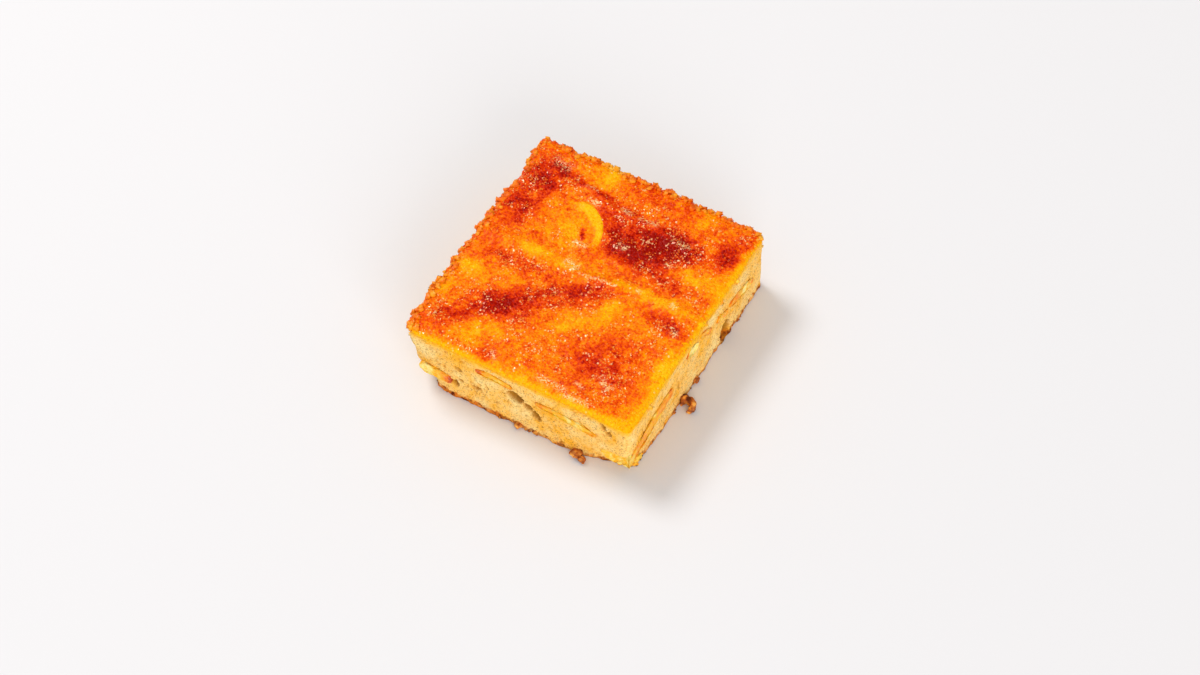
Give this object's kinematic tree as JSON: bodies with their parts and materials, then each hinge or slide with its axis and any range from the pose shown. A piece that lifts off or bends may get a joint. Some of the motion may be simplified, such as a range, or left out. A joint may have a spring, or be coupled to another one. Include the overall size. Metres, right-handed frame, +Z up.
{
  "type": "orange upside down cake slice",
  "caption": "Square-cut slab of upside down sponge cake with orange baked into the crumb and a caramelised orange top.",
  "frame": {"origin": "middle of the bounding box's underside, on the surface that the slice rests on", "axes": "+Z up through the caramelised top, +Y along the longer side towards the torn back edge, +X across towards the knife-cut side"},
  "size_m": [0.1012, 0.1068, 0.0297],
  "materials": {
    "crumb": "open matt crumb with a thin brown bottom crust",
    "caramel": "sticky, glossy and grainy with sugar",
    "orange_flesh": "moist baked fruit",
    "orange_rim": "moist baked fruit under caramel"
  },
  "bodies": {
    "root": {"sponge": "crumb", "caramel_topping": "caramel", "orange_slice_top": "orange_rim", "orange_slice_front_1": "orange_flesh", "orange_slice_front_2": "orange_flesh", "orange_slice_front_3": "orange_flesh", "orange_slice_corner": "orange_flesh", "orange_slice_right_1": "orange_flesh", "orange_slice_right_2": "orange_flesh", "orange_slice_right_3": "orange_flesh", "orange_slice_right_4": "orange_flesh", "orange_slice_back_1": "orange_flesh", "orange_slice_back_2": "orange_flesh", "orange_slice_back_3": "orange_flesh", "orange_slice_left_1": "orange_flesh", "orange_slice_left_2": "orange_flesh", "orange_slice_left_3": "orange_flesh"}
  },
  "joints": []
}
